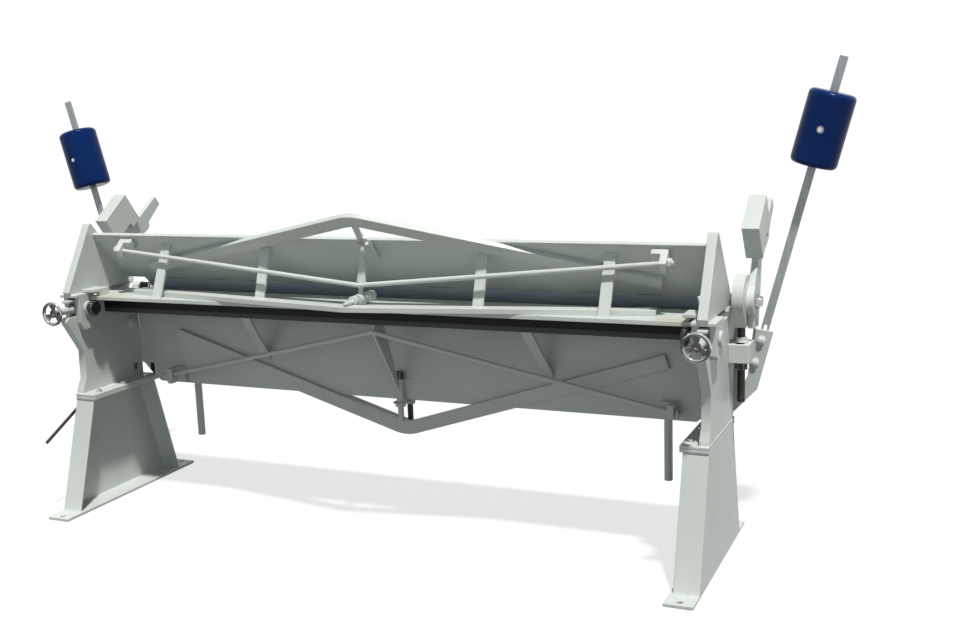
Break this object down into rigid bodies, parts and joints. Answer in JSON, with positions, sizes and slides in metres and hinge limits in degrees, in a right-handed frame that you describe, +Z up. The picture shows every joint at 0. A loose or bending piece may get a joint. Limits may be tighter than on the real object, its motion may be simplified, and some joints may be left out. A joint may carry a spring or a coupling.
{
  "type": "sheet metal folder",
  "caption": "Hand-operated floor-standing sheet metal folder with trussed bed, eccentric-clamped trussed beam, hanging folding leaf and splayed counterweights.",
  "frame": {"origin": "on the floor, midway between the four floor holes", "axes": "+X along the bed, +Y towards the folding leaf and the operator, +Z up"},
  "size_m": [3.4239, 0.932, 1.7342],
  "materials": {
    "paint": "satin enamel",
    "steel": "ground",
    "dark_steel": "oiled",
    "chrome": "polished",
    "zinc": "bright zinc",
    "blue_paint": "gloss enamel",
    "black_plastic": "gloss"
  },
  "bodies": {
    "frame": {"stand_right": "paint", "stand_left": "paint", "side_frame_right": "paint", "side_frame_left": "paint", "foot_bolts": "dark_steel", "bed_bar": "dark_steel", "bed_rail": "paint", "bed_plate": "paint", "bed_truss_bar": "paint", "bed_struts": "paint", "bed_tie_rod": "paint", "bed_tie_brackets": "paint", "bed_jack": "paint", "bed_end_bolts": "steel", "anchor_block_right": "paint", "anchor_block_left": "paint", "leaf_pins": "steel", "stop_block": "paint"},
    "stop_rod": {"stop_rod": "dark_steel"},
    "carriage": {"trunnion_blocks": "steel", "pivot_pins": "paint"},
    "handwheel_right": {"handwheel_right": "chrome", "screw_right": "paint"},
    "handwheel_left": {"handwheel_left": "chrome", "screw_left": "paint"},
    "knob_right": {"knob_right": "black_plastic"},
    "knob_left": {"knob_left": "black_plastic"},
    "beam": {"end_plate_right": "paint", "end_plate_left": "paint", "main_plate": "paint", "bottom_plate": "paint", "blade": "steel", "upper_truss_bar": "paint", "lower_truss_bar": "paint", "beam_struts": "paint", "beam_tie_rod": "paint", "beam_tie_brackets": "paint", "beam_tie_nuts": "paint", "upper_jack": "paint", "lower_jack": "paint", "end_bridges": "paint", "lever_studs": "zinc"},
    "lever_right": {"lever_right": "paint", "lever_weight_right": "paint"},
    "lever_left": {"lever_left": "paint", "lever_weight_left": "paint"},
    "eye_bolt_right": {"eye_bolt_right": "paint", "eye_nuts_right": "paint"},
    "eye_bolt_left": {"eye_bolt_left": "paint", "eye_nuts_left": "paint"},
    "leaf": {"leaf_plate": "paint", "leaf_truss_bar": "paint", "leaf_jack": "paint", "leaf_handles": "paint", "bar_brackets": "paint", "bar_bolts": "zinc", "bar_right": "steel", "bar_left": "steel"},
    "counterweight_right": {"counterweight_right": "blue_paint"},
    "counterweight_left": {"counterweight_left": "blue_paint"}
  },
  "joints": [
    {"name": "setback", "type": "slide", "parent": "frame", "child": "carriage", "axis": [0, 1, 0], "range_m": [-0.012, 0]},
    {"name": "beam_pivot", "type": "hinge", "parent": "carriage", "child": "beam", "pos_m": [0, -0.14, 0.834], "axis": [1, 0, 0], "range_deg": [0, 5.25]},
    {"name": "leaf_hinge", "type": "hinge", "parent": "frame", "child": "leaf", "pos_m": [0, 0.23425, 0.862], "axis": [1, 0, 0], "range_deg": [0, 115]},
    {"name": "stop_rod_slide", "type": "slide", "parent": "frame", "child": "stop_rod", "axis": [0, 0.891, 0.454], "range_m": [-0.1, 0]},
    {"name": "handwheel_right_turn", "type": "hinge", "parent": "carriage", "child": "handwheel_right", "pos_m": [1.315, -0.296, 0.834], "axis": [0, 1, 0], "range_deg": [-1081, 1]},
    {"name": "knob_right_turn", "type": "hinge", "parent": "carriage", "child": "knob_right", "pos_m": [1.248, -0.14, 0.834], "axis": [1, 0, 0], "range_deg": [-180, 180]},
    {"name": "lever_right_swing", "type": "hinge", "parent": "beam", "child": "lever_right", "pos_m": [1.392, 0.169, 0.908], "axis": [1, 0, 0], "range_deg": [-0.5, 85.5]},
    {"name": "eye_bolt_right_swing", "type": "hinge", "parent": "lever_right", "child": "eye_bolt_right", "pos_m": [1.368, 0.15486, 0.92214], "axis": [1, 0, 0], "range_deg": [-90.75, 0.5]},
    {"name": "counterweight_right_slide", "type": "slide", "parent": "leaf", "child": "counterweight_right", "axis": [0.2588, 0, 0.9659], "range_m": [-0.2, 0.1]},
    {"name": "handwheel_left_turn", "type": "hinge", "parent": "carriage", "child": "handwheel_left", "pos_m": [-1.315, -0.296, 0.834], "axis": [0, 1, 0], "range_deg": [-1081, 1]},
    {"name": "knob_left_turn", "type": "hinge", "parent": "carriage", "child": "knob_left", "pos_m": [-1.248, -0.14, 0.834], "axis": [1, 0, 0], "range_deg": [-180, 180]},
    {"name": "lever_left_swing", "type": "hinge", "parent": "beam", "child": "lever_left", "pos_m": [-1.392, 0.169, 0.908], "axis": [1, 0, 0], "range_deg": [-0.5, 85.5]},
    {"name": "eye_bolt_left_swing", "type": "hinge", "parent": "lever_left", "child": "eye_bolt_left", "pos_m": [-1.368, 0.15486, 0.92214], "axis": [1, 0, 0], "range_deg": [-90.75, 0.5]},
    {"name": "counterweight_left_slide", "type": "slide", "parent": "leaf", "child": "counterweight_left", "axis": [-0.2588, 0, 0.9659], "range_m": [-0.2, 0.1]}
  ],
  "couplings": [
    {"joint": "handwheel_right_turn", "follows": "setback", "rad_per_m": 1570.8},
    {"joint": "lever_right_swing", "follows": "beam_pivot", "ratio": 16.19},
    {"joint": "eye_bolt_right_swing", "follows": "beam_pivot", "ratio": -17.19},
    {"joint": "handwheel_left_turn", "follows": "setback", "rad_per_m": 1570.8},
    {"joint": "lever_left_swing", "follows": "beam_pivot", "ratio": 16.19},
    {"joint": "eye_bolt_left_swing", "follows": "beam_pivot", "ratio": -17.19}
  ]
}
